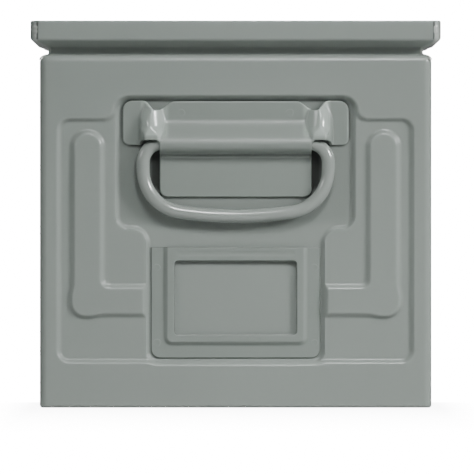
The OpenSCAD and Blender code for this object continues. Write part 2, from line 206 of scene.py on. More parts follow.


# %% [markdown]
# ## Paint
#
# The box is sprayed with one coat of semi-gloss grey, a little green. Three things keep it from looking
# like plastic: the fine orange peel of a sprayed coat, a slow drift of tint from sheet to sheet, and painted
# light on the bends: outward bends are painted lighter as a highlight and hollows darker as shade. That needs
# to know where the bends are, so each mesh carries a number per vertex named ridge, above zero on outward
# bends and below zero in hollows. Two more numbers can be drawn on a piece. One marks spots painted lighter
# as a highlight, with a glossier coat, and the other gaps and edges painted dark as shade, and dark joint
# lines.
#
# The handles are painted wire. Hands polish them, so their coat is smoother and a touch lighter.

# %% Paint recipes
def steel_paint(name, colour, gloss, peel=0.10, drift=1.0, coat=0.35):
    """Sprayed paint: tint drifts with two noises, bends are painted lighter as a highlight, hollows painted
    darker as shade and duller, marked spots painted lighter as a highlight and glossier, and painted shade and
    dark joint lines nearly black."""
    paint = Paint(name)
    place = paint.node("ShaderNodeTexCoord", out=3)
    cloud = paint.noise(place, 11.0)
    mottle = paint.noise(place, 160.0, 3.0)
    grain = paint.noise(place, 800.0, 1.0)
    speck = paint.noise(place, 2600.0, 0.0)
    ridge, gloss_and_highlight, shade_and_joint = (paint.mark(each) for each in ("ridge", "gloss_and_highlight", "shade_and_joint"))
    bend = paint.node("ShaderNodeClamp", {}, {"Value": ridge})
    hollow = paint.node("ShaderNodeClamp", {}, {"Value": ridge * -1.0})
    colour = np.array(colour)
    tint = (cloud - 0.5) * (0.8 * drift) + (mottle - 0.5) * 0.12 + 0.5
    sprayed = paint.mix(tint, colour * 0.95, colour * 1.05)
    # painted highlight: outward bends are painted lighter
    bend_highlight = paint.mix(bend * 0.35, sprayed, colour * 1.28)
    # painted highlight on the marked spots
    highlighted = paint.mix(gloss_and_highlight, bend_highlight, colour * 1.65)
    # painted shade: hollows are painted darker
    hollow_shade = paint.mix(hollow * 0.40, highlighted, colour * 0.74)
    # painted shade in gaps, along edges and over the recess, and dark joint lines
    with_shade_and_joints = paint.mix(shade_and_joint, hollow_shade, colour * 0.10)
    roughness = (mottle - 0.5) * 0.03 + (cloud - 0.5) * 0.04 + hollow * 0.10 - gloss_and_highlight * 0.18 + gloss
    bump = paint.node("ShaderNodeBump", {}, {
        "Strength": peel, "Distance": 0.25 * MM, "Height": grain * 0.75 + speck * 0.25})
    return paint.finish(paint.node("ShaderNodeBsdfPrincipled", {}, {
        "Base Color": with_shade_and_joints, "Roughness": roughness, "Normal": bump,
        "Specular IOR Level": 0.5, "Coat Weight": gloss_and_highlight * 0.6 + coat, "Coat Roughness": 0.14}))


steel_grey = (0.243, 0.275, 0.254)
wire_grey = (0.262, 0.293, 0.272)
bracket_grey = (0.212, 0.243, 0.223)
seam_highlight_grey = (0.38, 0.41, 0.385)
wall_paint = steel_paint("wall_paint", steel_grey, 0.34, coat=0.25)
bracket_paint = steel_paint("bracket_paint", bracket_grey, 0.42, drift=0.6, coat=0.1)
weld_paint = steel_paint("weld_paint", steel_grey, 0.36, peel=0.3, drift=0.6)
plate_weld_paint = steel_paint("plate_weld_paint", bracket_grey, 0.42, peel=0.2, drift=0.6, coat=0.1)
# the lighter grey of the rim's weld runs is a painted highlight
seam_highlight_paint = steel_paint("seam_highlight_paint", seam_highlight_grey, 0.22, peel=0.9, drift=1.5, coat=0.8)
handle_paint = steel_paint("handle_paint", wire_grey, 0.21, peel=0.07, drift=0.5, coat=0.8)
print("paints:", [m.name for m in bpy.data.materials])

# %% [markdown]
# ## Floor
#
# The floor is a plain white studio sweep. To the lens it glows as white as the room behind it, with a faint
# shade that fades over two metres in front of the box and over a few centimetres beside and behind it. To the
# lamps it is matt, and its bounce is what lifts the lower part of the box.

# %% Floor
lens_white = 18.0
shade_ahead, shade_aside, shade_behind = 2.0, 1 / 25, 1 / 15
shade_colour = (0.52, 0.52, 0.53)


def fading(distance, reach):
    """1 at no distance, falling evenly to 0 at the reach."""
    return (1.0 - distance.math("MAXIMUM", 0.0) * (1 / reach)).math("MAXIMUM", 0.0)


def studio_floor():
    """White floor: matt to every ray but the camera's, which sees a glow less the soft shade near the box."""
    paint = Paint("floor_white")
    seen = paint.node("ShaderNodeLightPath", out=0)
    place = paint.node("ShaderNodeTexCoord", out=3)
    x, y = (paint.node("ShaderNodeSeparateXYZ", {}, {0: place}, out=k) for k in (0, 1))
    fade = fading(y * -1.0 + front_y, shade_ahead) * fading(y - cad_bounds[1][1], shade_behind)
    fade = fade * fading(x.math("ABSOLUTE", 0.0) - cad_bounds[1][0], shade_aside)
    glow = paint.node("ShaderNodeEmission", {}, {
        "Color": paint.mix(fade * fade, (1, 1, 1), shade_colour), "Strength": lens_white})
    matt = paint.node("ShaderNodeBsdfDiffuse", {}, {"Color": (0.5, 0.5, 0.5, 1)})
    return paint.finish(paint.node("ShaderNodeMixShader", {}, {0: seen, 1: matt, 2: glow}))


floor_half = 12.0
floor_z = -0.2 * MM
floor_corners = [(-1, -1), (1, -1), (1, 1), (-1, 1)]
floor_points = [(a * floor_half, b * floor_half, floor_z) for a, b in floor_corners]
floor_mesh = bpy.data.meshes.new("floor")
floor_mesh.from_pydata(floor_points, [], [(0, 1, 2, 3)])
floor = bpy.data.objects.new("floor", floor_mesh)
floor.data.materials.append(studio_floor())
bpy.context.scene.collection.objects.link(floor)
print("floor:", 2 * floor_half, "m square")

# %% [markdown]
# ## Room
#
# The room behind the box is as white to the lens as the floor. To the paint it is almost dark, because a
# bright room would light every slope alike and the pressed edges would vanish.

# %% Room light
room_glow = 0.012
world = bpy.data.worlds.new("studio")
bpy.context.scene.world = world
world.use_nodes = True
sky = world.node_tree
backdrop = sky.nodes["Background"]
backdrop.inputs["Color"].default_value = (1, 1, 1, 1)
path = sky.nodes.new("ShaderNodeLightPath")
level = sky.nodes.new("ShaderNodeMapRange")
level.inputs["To Min"].default_value = room_glow
level.inputs["To Max"].default_value = lens_white
sky.links.new(path.outputs["Is Camera Ray"], level.inputs["Value"])
sky.links.new(level.outputs["Result"], backdrop.inputs["Strength"])
print("room:", room_glow, "to the box,", lens_white, "to the lens")

# %% [markdown]
# ## From arrays to closed meshes
#
# Every piece is worked out as whole arrays: a grid of points, and faces from index arithmetic. Three rules
# hold for all of them. A shell is closed, its faces point outwards (its signed volume is above zero), and
# bends stay smooth while cut edges stay sharp.

# %% Mesh helpers
def quads(rows, columns):
    """Faces of a rows x columns grid of vertices numbered row by row."""
    corner = np.arange(rows - 1)[:, None] * columns + np.arange(columns - 1)[None, :]
    return np.stack([corner, corner + 1, corner + columns + 1, corner + columns], axis=-1).reshape(-1, 4)


def volume(points, faces):
    """Signed volume of quads: a sixth of the triple product of each of their two triangles."""
    a, b, c, d = (points[faces[:, k]] for k in range(4))
    return (np.einsum("ij,ij->i", a, np.cross(b, c)) + np.einsum("ij,ij->i", a, np.cross(c, d))).sum() / 6


def tube_faces(rows, columns):
    """Faces of the same kind of grid when its last column joins its first."""
    index = np.arange(rows * columns).reshape(rows, columns)
    wrapped = np.concatenate([index, index[:, :1]], axis=1)
    faces = np.stack([wrapped[:-1, :-1], wrapped[:-1, 1:], wrapped[1:, 1:], wrapped[1:, :-1]], axis=-1)
    return faces.reshape(-1, 4)


def edge_mean(values, a, b, count):
    """Mean at each vertex of the values on the edges a-b that meet there."""
    total = np.bincount(a, values, count) + np.bincount(b, values, count)
    return total / np.maximum(np.bincount(a, minlength=count) + np.bincount(b, minlength=count), 1)


def ridge_of(mesh, full_bend=2.5 * MM, shortest=0.2 * MM):
    """Bend at each vertex: the spread of the normals per length of edge, averaged over the edges that meet
    there, twice over. It is about 1 on a bend whose radius is full_bend."""
    place = np.empty(len(mesh.vertices) * 3, np.float32)
    normal = np.empty(len(mesh.vertices) * 3, np.float32)
    edge = np.empty(len(mesh.edges) * 2, np.int32)
    mesh.vertices.foreach_get("co", place)
    mesh.vertex_normals.foreach_get("vector", normal)
    mesh.edges.foreach_get("vertices", edge)
    place, normal = place.reshape(-1, 3), normal.reshape(-1, 3)
    a, b = edge.reshape(-1, 2).T
    step = place[b] - place[a]
    squared = np.maximum((step ** 2).sum(1), shortest ** 2)
    spread = np.einsum("ij,ij->i", normal[b] - normal[a], step) / squared
    mean = edge_mean(spread, a, b, len(place))
    mean = edge_mean((mean[a] + mean[b]) / 2, a, b, len(place))
    return np.clip(mean * full_bend, -1, 1)


def mark_points(mesh, name, values):
    """Stores one number per vertex, for the paint to read by its name."""
    marks = mesh.attributes.new(name, "FLOAT", "POINT")
    marks.data.foreach_set("value", values.ravel().astype(np.float32))


def build(name, points, faces, paint, body, nodes, slot="painted_steel", sharp=40, extra=()):
    """Makes the mesh object, turns its faces outwards, marks its bends and puts it in the place of CAD nodes.
    Extra holds faces with more than four corners."""
    points = np.asarray(points, float).reshape(-1, 3)
    if volume(points, faces) < 0:
        faces = faces[:, ::-1]
        extra = [loop[::-1] for loop in extra]
    mesh = bpy.data.meshes.new(name)
    mesh.from_pydata(points.tolist(), [], faces.tolist() + [list(loop) for loop in extra])
    mesh.validate()
    mesh.polygons.foreach_set("use_smooth", np.ones(len(mesh.polygons), bool))
    mesh.set_sharp_from_angle(angle=np.radians(sharp))
    mark_points(mesh, "ridge", ridge_of(mesh))
    obj = bpy.data.objects.new(name, mesh)
    bpy.context.scene.collection.objects.link(obj)
    mesh.materials.append(paint)
    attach(obj, body)
    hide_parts(*nodes)
    size = np.ptp(points, axis=0) / MM
    print(f"{name}: {len(points)} points, {size.round(1)} mm")
    return obj


def graded(low, high, zones, fine, coarse):
    """Stations from low to high, fine apart inside the zones and coarse apart outside: the running sum of
    1 / spacing is cut into equal steps."""
    walk = np.linspace(low, high, 4000)
    inside = np.any([(walk >= a) & (walk <= b) for a, b in zones], axis=0)
    count = np.concatenate([[0], np.cumsum(1 / np.where(inside, fine, coarse)[1:] * np.diff(walk))])
    return np.interp(np.linspace(0, count[-1], int(round(count[-1])) + 1), count, walk)


print("a tube of 3 rings of 8 points has", len(tube_faces(3, 8)), "faces")

# %% [markdown]
# ## Pressed shapes as distances
#
# A press tool pushes the sheet in over a rounded outline, and the sheet slopes down to the floor of the
# pressing. The neat way to describe that is a distance: how far a point lies inside the outline. A ramp
# turns distance into depth, rounding the bend at its top and foot. Two outlines that meet are joined with a
# round fillet, as the tool itself is.

# %% Outlines and ramps
def rounded_box(x, z, x0, x1, z0, z1, r):
    """How far inside a rounded rectangle a point lies: r minus the length to its inset core."""
    across = np.abs(x - (x0 + x1) / 2) - (x1 - x0) / 2 + r
    up = np.abs(z - (z0 + z1) / 2) - (z1 - z0) / 2 + r
    beyond = np.hypot(np.maximum(across, 0), np.maximum(up, 0))
    return r - beyond - np.minimum(np.maximum(across, up), 0)


def join_round(a, b, r):
    """Either outline, with a fillet of radius r where they meet: the length of (r + a, r + b), less r."""
    return np.hypot(np.maximum(r + a, 0), np.maximum(r + b, 0)) - np.maximum(r, -np.maximum(a, b))


def ramp(distance, width, bend):
    """0 outside, 1 past the slope, as 3s^2 - 2s^3, with bend added at each end of the slope."""
    s = np.clip((distance + bend) / (width + 2 * bend), 0, 1)
    return s * s * (3 - 2 * s)


def soft_max(a, b, k):
    """The larger of two heights. Where they cross it is a blend, b + (a - b) h + k h (1 - h), in which h goes
    from 0 to 1 while a - b goes from -k to k."""
    h = np.clip(0.5 + 0.5 * (a - b) / k, 0, 1)
    return b + (a - b) * h + k * h * (1 - h)


def soft_min(a, b, k):
    """The smaller of two heights, blended over k where they cross."""
    return -soft_max(-a, -b, k)


print("a slope rises to", ramp(np.array([-1, 0, 1, 2, 3]), 2, 0).round(2), "over two steps")

# %% [markdown]
# ## Sizes
#
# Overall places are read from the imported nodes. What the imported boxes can't say, such as bend radii and the
# depth of a pressing, is named here. Outward from the face of a wall is called u.

# %% Sizes from the frame
end_low, end_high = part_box("rear_end_wall")
bracket_low, bracket_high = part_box("rear_handle_bracket")
bail_low, bail_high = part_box("rear_bail")
holder_low, holder_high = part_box("label_holder")
pan_low, pan_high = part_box("base_pan")
hinge = Vector([j for j in frame["joints"] if j["name"] == "rear_handle_hinge"][0]["pos_m"])

lip_out = 4.8 * MM
height = end_high.z
half_w = end_high.x - lip_out
half_l = end_high.y - lip_out
seam_y = end_low.y
sheet = 1.0 * MM
floor_u = bracket_low.y - half_l
pivot_u = hinge.y - half_l
pivot_z = hinge.z
wire_r = (bail_high.y - bail_low.y) / 2
leg_x = bail_high.x - wire_r
open_x = leg_x - wire_r - 5.1 * MM
grip_foot = bail_low.z
print("body half width and length in mm:", round(half_w / MM, 2), round(half_l / MM, 2))

# %% [markdown]
# ## The wall's section
#
# All four walls are bent from one section: a foot flange, the flat wall, a shoulder turned in to the
# stacking neck, a flare out to the lip, and a hem folded down inside. It could be a flat sheet with a
# Solidify modifier, but the hem is two sheets thick and has a cut edge that shows from above. So the
# section is one closed line, out over the outer face and back down the inner face, a sheet's thickness
# apart.

# %% Section line
corner_r = 4 * MM
least_r = 0.35 * MM
foot_r = 1.6 * MM
foot_flange = 14 * MM
neck_in = 5.2 * MM
neck_r = 1.2 * MM
neck_top = height - 14.75 * MM
neck_foot = neck_top - 1.55 * MM
shoulder_r = neck_in - neck_r
shoulder_z = neck_foot - neck_r - shoulder_r
flare = np.radians(20)
lip_r = 2.2 * MM
flare_start = np.array([-neck_in + neck_r * (1 - np.sin(flare)), neck_top + neck_r * np.cos(flare)])
flare_end_u = lip_out - lip_r * (1 - np.sin(flare))
lip_z = flare_start[1] + (flare_end_u - flare_start[0]) * np.tan(flare) + lip_r * np.cos(flare)
hem_foot = height - 5 * MM
flange_points, foot_points = 2, 9


def arc(u, z, r, start, end, n):
    """n points on a circle about (u, z), from one angle to another in degrees."""
    angle = np.radians(np.linspace(start, end, n))
    return np.stack([u + r * np.cos(angle), z + r * np.sin(angle)], axis=1)


def wall_line(depth, rows):
    """One side of the sheet from the flange's edge to the lip, depth below the outer face. The neck's first
    arc starts where the shoulder's ends, so that point is left out once."""
    tilt = np.degrees(flare)
    return np.concatenate([
        np.linspace([-foot_flange, depth], [-foot_flange / 2, depth], flange_points),
        arc(-foot_r, foot_r, foot_r - depth, -90, 0, foot_points),
        np.stack([np.full(len(rows), -depth), rows], axis=1),
        arc(-shoulder_r, shoulder_z, shoulder_r - depth, 0, 90, 11),
        arc(-shoulder_r, neck_foot, neck_r + depth, 270, 180, 6)[1:],
        arc(-neck_in + neck_r, neck_top, neck_r + depth, 180, 90 + tilt, 5),
        arc(lip_out - lip_r, lip_z, lip_r - depth, tilt - 90, 0, 13)])


def section(outer_rows, inner_rows):
    """The closed section and a mark on its flat wall rows: outer face, rolled hem, cut edge, inner face."""
    outer = wall_line(0, outer_rows)
    inner = wall_line(sheet, inner_rows)
    hem = arc(lip_out - sheet, height - sheet, sheet, 0, 180, 13)
    fold = np.array([[lip_out - 2 * sheet, hem_foot], [lip_out - 1.1 * sheet, hem_foot]])
    line = np.concatenate([outer, hem, fold, inner[::-1]])
    first = flange_points + foot_points
    flat = np.zeros(len(line), bool)
    flat[first:first + len(outer_rows)] = True
    flat[len(line) - first - len(inner_rows):len(line) - first] = True
    return line, flat


def turn_radius(line):
    """Corner radius of the walls at each point of the section: corner_r + u below the middle of the neck, so
    that the turns share one centre, and u above it."""
    below = line[:, 1] < (neck_foot + neck_top) / 2
    return np.maximum(np.where(below, corner_r + line[:, 0], line[:, 0]), least_r)


print("rim: neck at", round(neck_top / MM, 1), "mm, lip from", round(lip_z / MM, 1), "mm")

# %% [markdown]
# ## End walls
#
# The end wall is pressed in two levels. The first is a panel with two L-shaped beads left standing in it,
# which stiffen the sheet. The second holds the handle, and runs down into a narrower recess for the label.
# The sheet turns both corners and ends in a seam on the long side.
#
# The grid of points is finer where the sheet slopes and coarser where it is flat, so the bends stay crisp
# without millions of faces.

# %% Depth of the end wall's pressing
level = 2.1 * MM
press_bend = 0.5 * MM
panel_corner = 6.5 * MM
recess_corner = 8 * MM
straight_half = 95 * MM
step_slope = 1.8 * MM
recess_slope = 2.4 * MM
label_slope = 3.0 * MM
panel_x = half_w - 9.1 * MM
panel_z0 = 23.1 * MM
panel_z1 = height - 50.4 * MM
recess_x = bracket_high.x + 2.5 * MM + recess_slope
recess_z0 = grip_foot - 2 * MM - recess_slope
recess_z1 = bracket_high.z + 0.4 * MM + recess_slope
label_x = holder_high.x + 0.7 * MM + label_slope
label_z0 = panel_z0 - 0.9 * MM
bead_x1 = panel_x - 9 * MM
bead_half = 6.65 * MM
bead_corner = bead_half - 0.1 * MM
bead_x0 = bead_x1 - 2 * bead_half
bead_z0 = panel_z0 + 25.8 * MM
bead_z1 = panel_z1 - 8.2 * MM
arm_z1 = bead_z0 + 12.7 * MM
bead_slope = step_slope + 0.4 * MM


def end_depth(x, z):
    """Depth of the sheet below the wall face: the panel less its beads, or the recesses, whichever is
    deeper."""
    side = np.abs(x)
    recess = rounded_box(x, z, -recess_x, recess_x, recess_z0, recess_z1, recess_corner)
    label = rounded_box(x, z, -label_x, label_x, label_z0, recess_z0 + 20 * MM, panel_corner)
    panel = rounded_box(x, z, -panel_x, panel_x, panel_z0, panel_z1, panel_corner)
    lower = rounded_box(x, z, -label_x, label_x, label_z0, panel_z1, panel_corner)
    post = rounded_box(side, z, bead_x0, bead_x1, bead_z0, bead_z1, bead_corner)
    arm = rounded_box(side, z, label_x - 6 * MM, bead_x1, bead_z0, arm_z1, 5 * MM)
    bead = join_round(post, arm, 4.5 * MM)
    one = ramp(join_round(join_round(panel, recess, 5 * MM), lower, 1 * MM), step_slope, press_bend)
    one = level * one * (1 - ramp(bead + bead_slope, bead_slope, press_bend))
    two = 2 * level * ramp(join_round(recess, label, 6 * MM), recess_slope + 0.3 * MM, 0.6 * MM)
    return soft_max(one, two, 0.25 * MM)


print("panel width in mm:", round(2 * panel_x / MM, 1), "recess width:", round(2 * recess_x / MM, 1))

# %% [markdown]
# ## Painted shade on the end walls
#
# Shade is painted on in the gap between the bracket's lower flap and each leg, in a line round the bracket,
# and lightly over the recess. A dark joint line is drawn beside each weld of the rim. Painting it by hand would
# tie it to one mesh, so it is worked out from the same outlines as the shapes.

# %% Painted shade
def edge_line(distance, width, inner=0.3 * MM):
    """Painted shade along the outside of an outline: 1 at the edge, falling evenly to 0 at the width."""
    return (1 - np.clip(-distance / width, 0, 1)) * (distance < inner)


def gap_shade(x, z):
    """Painted shade beside the flap, under its edge and round the ears, and a faint painted shade over the
    recess.
    """
    flap = rounded_box(x, z, -open_x, open_x, bracket_low.z, hinge.z, 4 * MM)
    above_foot = ramp(z - bracket_low.z + 1 * MM, 9 * MM, 0)
    beside = (1 - np.clip((-flap - 2.5 * MM) / (6 * MM), 0, 1)) * above_foot * (np.abs(x) > 30 * MM)
    gap = np.clip(beside + 0.8 * edge_line(flap, 1.2 * MM), 0, 1) * (z < hinge.z)
    strip_z0 = hinge.z - 0.9 * MM
    strip = rounded_box(x, z, bracket_low.x, bracket_high.x, strip_z0, bracket_high.z, 5 * MM)
    recess = rounded_box(x, z, -recess_x, recess_x, recess_z0, recess_z1, recess_corner)
    recess_shade = 0.17 * ramp(recess, 5 * MM, 0) * ramp(z - recess_z0, 9 * MM, 0)
    return gap + 0.6 * edge_line(strip, 1.6 * MM) + recess_shade


def end_shade_and_joint(points):
    """Painted shade on the outer face of an end wall, and a dark joint line beside each weld of the rim."""
    x, y, z = np.moveaxis(points, -1, 0)
    face = gap_shade(x, z) * (np.abs(x) <= straight_half) * (y > half_l - 5 * MM)
    at_joint = np.abs(np.abs(x) - half_w - 1.15 * MM) < 0.3 * MM
    return face + 0.8 * at_joint * (z > lip_z - 1 * MM) * (y > half_l + 2 * MM)


print("flap width in mm:", round(2 * open_x / MM, 1))

# %% [markdown]
# ## From section to end wall
#
# The section is carried down one flange, round the corner, across the end, and back on the other side. That
# makes one grid of points, and the pressing then moves the points of the flat wall inwards.

# %% Carry the section round an end
def end_plan(line, straight, flange):
    """Points of an end wall, section x stations: down one flange, round the corner, across, and back."""
    u, z = line[:, 0:1], line[:, 1:2]
    r = turn_radius(line)[:, None]
    angle = np.radians(np.linspace(0, 90, 17))[None, :]
    corner_x = half_w + u - r + r * np.cos(angle)
    corner_y = half_l + u - r + r * np.sin(angle)
    flange_y = np.broadcast_to(flange, (len(line), len(flange)))
    flange_x = np.broadcast_to(half_w + u, flange_y.shape)
    across = np.broadcast_to(straight, (len(line), len(straight)))
    x = np.concatenate([flange_x, corner_x, across[:, ::-1], -corner_x[:, ::-1], -flange_x], axis=1)
    y = np.concatenate([flange_y, corner_y, np.broadcast_to(half_l + u, across.shape),
                        corner_y[:, ::-1], flange_y[:, ::-1]], axis=1)
    return np.stack([x, y, np.broadcast_to(z, x.shape)], axis=-1)


def close_loop(points):
    """Faces of a closed section carried along stations, and the two caps at its ends."""
    rows, columns = points.shape[:2]
    index = np.arange(rows * columns).reshape(rows, columns)
    wrapped = np.concatenate([index, index[:1]], axis=0)
    faces = np.stack([wrapped[:-1, :-1], wrapped[:-1, 1:], wrapped[1:, 1:], wrapped[1:, :-1]], axis=-1)
    return faces.reshape(-1, 4), [index[:, 0].tolist(), index[::-1, -1].tolist()]


def end_wall(name, turn, node):
    """turn is 1 for the rear end and -1 for the front, which is the same wall turned half round. The zones
    are the stretches where the sheet slopes."""
    zones_z = [(20 * MM, 32 * MM), (45 * MM, 65 * MM), (83 * MM, 102 * MM), (131 * MM, 163 * MM)]
    zones_x = [(67 * MM, 94 * MM), (38 * MM, 65 * MM)]
    half = graded(0, straight_half, zones_x, 0.62 * MM, 3 * MM)
    straight = np.concatenate([-half[:0:-1], half])
    outer = graded(foot_r + 1 * MM, shoulder_z - 1 * MM, zones_z, 0.6 * MM, 3 * MM)
    inner = graded(foot_r + 1 * MM, shoulder_z - 1 * MM, zones_z, 1.2 * MM, 4 * MM)
    line, flat = section(outer, inner)
    points = end_plan(line, straight, np.linspace(seam_y, half_l - 6 * MM, 4))
    pressed = end_depth(points[..., 0], points[..., 2]) * flat[:, None]
    points[..., 1] -= np.where(np.abs(points[..., 0]) <= straight_half, pressed, 0)
    # painted shade round the bracket and over the recess, and a dark joint line beside each rim weld
    shade_and_joint = end_shade_and_joint(points)
    points[..., :2] *= turn
    faces, caps = close_loop(points)
    wall = build(name, points, faces, wall_paint, "box", [node], extra=caps)
    mark_points(wall.data, "shade_and_joint", shade_and_joint)


end_wall("front_end_skin", -1, "front_end_wall")
end_wall("rear_end_skin", 1, "rear_end_wall")

# %% [markdown]
# ## Long walls
#
# The long walls share the section. Each has one shallow panel with five upright beads, and meets the end
# walls in a lap seam: a hairline joint on the outside and a tongue of sheet behind it.

# %% Long walls
side_span = seam_y - 9 * MM
side_beads = 5
side_pitch = 2 * side_span / (side_beads + 1)
joint_gap = 0.15 * MM
tongue_z0 = foot_r + 3 * MM
tongue_z1 = shoulder_z - 3 * MM


def side_depth(y, z):
    """The panel less its upright beads. The beads repeat, so y is folded into one pitch."""
    panel = rounded_box(y, z, -side_span, side_span, panel_z0, panel_z1, panel_corner)
    shifted = y + (side_beads - 1) / 2 * side_pitch
    nearest = np.clip(np.round(shifted / side_pitch), 0, side_beads - 1)
    bead = rounded_box(shifted - nearest * side_pitch, z, -bead_half, bead_half,
                       panel_z0 + 12 * MM, panel_z1 - 12 * MM, bead_corner)
    standing = ramp(bead + bead_slope, bead_slope, press_bend)
    return level * ramp(panel, step_slope, press_bend) * (1 - standing)


def side_wall(name, turn, node):
    """turn is 1 for the right wall and -1 for the left. The joint is open only where the tongue lies behind
    it. Above and below, the wall runs up to the seam."""
    centres = (np.arange(side_beads) - (side_beads - 1) / 2) * side_pitch
    zones_y = [(c + s * 7.5 * MM - 3.5 * MM, c + s * 7.5 * MM + 3.5 * MM) for c in centres for s in (-1, 1)]
    zones_y += [(-side_span - 2 * MM, -side_span + 8 * MM), (side_span - 8 * MM, side_span + 2 * MM)]
    along = graded(-seam_y + joint_gap, seam_y - joint_gap, zones_y, 0.7 * MM, 2.6 * MM)
    zones_z = [(20 * MM, 47 * MM), (126 * MM, 152 * MM)]
    outer = graded(foot_r + 1 * MM, shoulder_z - 1 * MM, zones_z, 0.7 * MM, 3 * MM)
    inner = graded(foot_r + 1 * MM, shoulder_z - 1 * MM, zones_z, 1.3 * MM, 4 * MM)
    line, flat = section(outer, inner)
    y = np.tile(along, (len(line), 1))
    z = np.broadcast_to(line[:, 1:2], y.shape)
    closed = (line[:, 1] > tongue_z1) | (line[:, 1] < tongue_z0)
    y[closed, 0], y[closed, -1] = -seam_y, seam_y
    x = half_w + line[:, 0:1] - side_depth(y, z) * flat[:, None]
    points = np.stack([x, y, z], axis=-1)
    points[..., :2] *= turn
    faces, caps = close_loop(points)
    tongue = [tongue_block(s) * np.array([turn, turn, 1]) for s in (-1, 1)]
    count = points.shape[0] * points.shape[1]
    points = np.concatenate([points.reshape(-1, 3), *tongue])
    faces = np.concatenate([faces, block_faces(count), block_faces(count + 8)])
    return build(name, points, faces, wall_paint, "box", [node], extra=caps)


def tongue_block(end):
    """Corners of the strip of sheet that lies behind the end wall's flange."""
    x0, x1 = half_w - 2 * sheet, half_w - 1.02 * sheet
    y0, y1 = sorted((end * (seam_y - 2 * MM), end * (seam_y + 10.5 * MM)))
    ring = ((x0, y0), (x1, y0), (x1, y1), (x0, y1))
    return np.array([(x, y, z) for z in (tongue_z0, tongue_z1) for x, y in ring])


def block_faces(start):
    """Six outward faces of a block whose corners are numbered bottom ring then top ring."""
    faces = [(3, 2, 1, 0), (4, 5, 6, 7), (0, 1, 5, 4), (1, 2, 6, 5), (2, 3, 7, 6), (3, 0, 4, 7)]
    return np.array(faces) + start


side_wall("right_side_skin", 1, "right_side_wall")
side_wall("left_side_skin", -1, "left_side_wall")

# %% [markdown]
# ## Plates with holes
#
# The bracket, the label holder and the base are flat blanks that were cut out and then pressed. A blank has
# an outline with windows and notches, and a height above its flat. The grid is laid over the whole blank,
# cells whose centre lies outside the outline are dropped, and the points along the cut are slid onto the
# outline exactly. The back is the front moved inwards along its normals by the sheet's thickness.

# %% Plate builder
def slope_of(field, x, z, step=0.02 * MM):
    """Rates of change of a field along x and z, by central differences."""
    along_x = (field(x + step, z) - field(x - step, z)) / (2 * step)
    along_z = (field(x, z + step) - field(x, z - step)) / (2 * step)
    return along_x, along_z


def snap(outline, x, z, moving):
    """Slides the marked points onto the outline, along its gradient."""
    for _ in range(3):
        gx, gz = slope_of(outline, x, z)
        pull = outline(x, z) / np.maximum(gx ** 2 + gz ** 2, 0.2)
        x = np.where(moving, x - pull * gx, x)
        z = np.where(moving, z - pull * gz, z)
    return x, z


def border(cells):
    """The sides that belong to one cell only."""
    sides = np.concatenate([cells[:, [k, (k + 1) % 4]] for k in range(4)])
    key = np.sort(sides, axis=1) @ np.array([cells.max() + 1, 1])
    _, first, uses = np.unique(key, return_index=True, return_counts=True)
    return sides[first[uses == 1]]


def plate(outline, rise, thick, across, up, edge=0.3 * MM):
    """A pressed blank: points as (x, z, u) and faces, front and back. The cut edge is rolled over the radius
    edge, as a quarter circle."""
    x, z = np.meshgrid(across, up)
    rows, columns = x.shape
    inside = outline((x[:-1, :-1] + x[1:, 1:]) / 2, (z[:-1, :-1] + z[1:, 1:]) / 2) > 0
    cells = quads(rows, columns)[inside.ravel()]
    pad = np.pad(inside, 1)
    around = np.stack([pad[:-1, :-1], pad[1:, :-1], pad[:-1, 1:], pad[1:, 1:]])
    x, z = snap(outline, x, z, around.any(0) & ~around.all(0))
    u = rise(x, z)
    gx, gz = slope_of(rise, x, z)
    length = np.sqrt(1 + gx ** 2 + gz ** 2)
    near = np.clip(outline(x, z), 0, edge)
    roll = edge - np.sqrt(edge ** 2 - (edge - near) ** 2)
    front = np.stack([x, z, u - roll], axis=-1).reshape(-1, 3)
    inward = thick / length
    back = np.stack([x + inward * gx, z + inward * gz, u - inward], axis=-1).reshape(-1, 3)
    rim = border(cells)
    walls = np.stack([rim[:, 1], rim[:, 0], rim[:, 0] + len(front), rim[:, 1] + len(front)], axis=1)
    faces = np.concatenate([cells, cells[:, ::-1] + len(front), walls])
    used, faces = np.unique(faces, return_inverse=True)
    return np.concatenate([front, back])[used], faces.reshape(-1, 4)


def on_end(points, turn):
    """From (x, z, u) on a wall face to the rear end (turn 1) or the front end (turn -1)."""
    x, z, u = points.T
    return np.stack([turn * x, turn * (half_l + u), z], axis=1)


print("a block of 2 x 2 cells has", len(border(quads(3, 3))), "sides on its border")

# %% [markdown]
# ## Handle bracket
#
# The bracket is one pressed plate. A long tunnel across it holds the two stubs of the handle. At each side
# the tunnel runs into a raised knuckle over the bend of the wire, with a scalloped notch above it, and
# beyond it a flat ear is welded down. Below each knuckle the plate is cut away so that the leg can swing
# out.

# %% Bracket shape
bracket_plate = 1.2 * MM
ear_x = bracket_high.x
tie_z0 = bracket_low.z
ear_z1 = bracket_high.z
tie_z1 = ear_z1 - 0.3 * MM
tunnel_r = bracket_high.y - half_l - pivot_u
bracket_face = pivot_u + tunnel_r
arch_z = pivot_z + 1.6 * MM
plate_u = floor_u + bracket_plate
crease_z = pivot_z - 6.9 * MM
knuckle_x0 = leg_x - wire_r - 10.5 * MM
knuckle_x1 = leg_x + wire_r - 0.6 * MM
inner_run = 6.0 * MM
outer_run = 3.8 * MM


def top_edge(side):
    """Upper edge of the bracket over |x|: a long slant down to the notch and a short one up to the ear."""
    slant = ramp(side - knuckle_x0 + 1.6 * MM, 7.0 * MM, 0.6 * MM)
    climb = ramp(side - leg_x + 4.6 * MM, 3.6 * MM, 1.3 * MM)
    return tie_z1 - 4.4 * MM * slant + (4.4 * MM + ear_z1 - tie_z1) * climb


